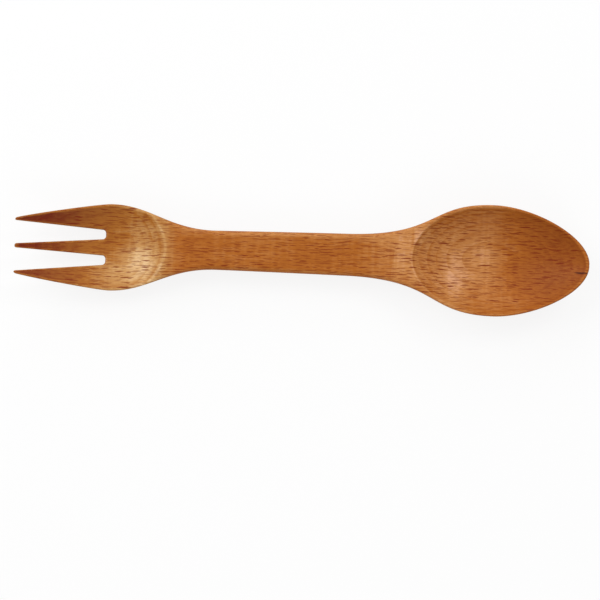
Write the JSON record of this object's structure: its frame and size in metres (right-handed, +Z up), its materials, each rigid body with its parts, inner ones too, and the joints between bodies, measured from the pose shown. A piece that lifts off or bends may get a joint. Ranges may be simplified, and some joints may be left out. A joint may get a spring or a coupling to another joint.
{
  "type": "wooden spoon-fork",
  "caption": "Double-ended wooden eating utensil carved in one piece, with an oval spoon bowl at one end, a dished fork with long tapering tines at the other and a plain bar handle.",
  "frame": {"origin": "middle of the bounding box seen from above, on the surface the utensil lies on", "axes": "+X along the utensil towards the spoon's nose, +Z up out of the hollows of spoon and fork, +Y across"},
  "size_m": [0.18, 0.0348, 0.0124],
  "materials": {
    "beech": "bare oiled beech, sanded, satin"
  },
  "bodies": {
    "root": {"spoon_fork": "beech"}
  },
  "joints": []
}
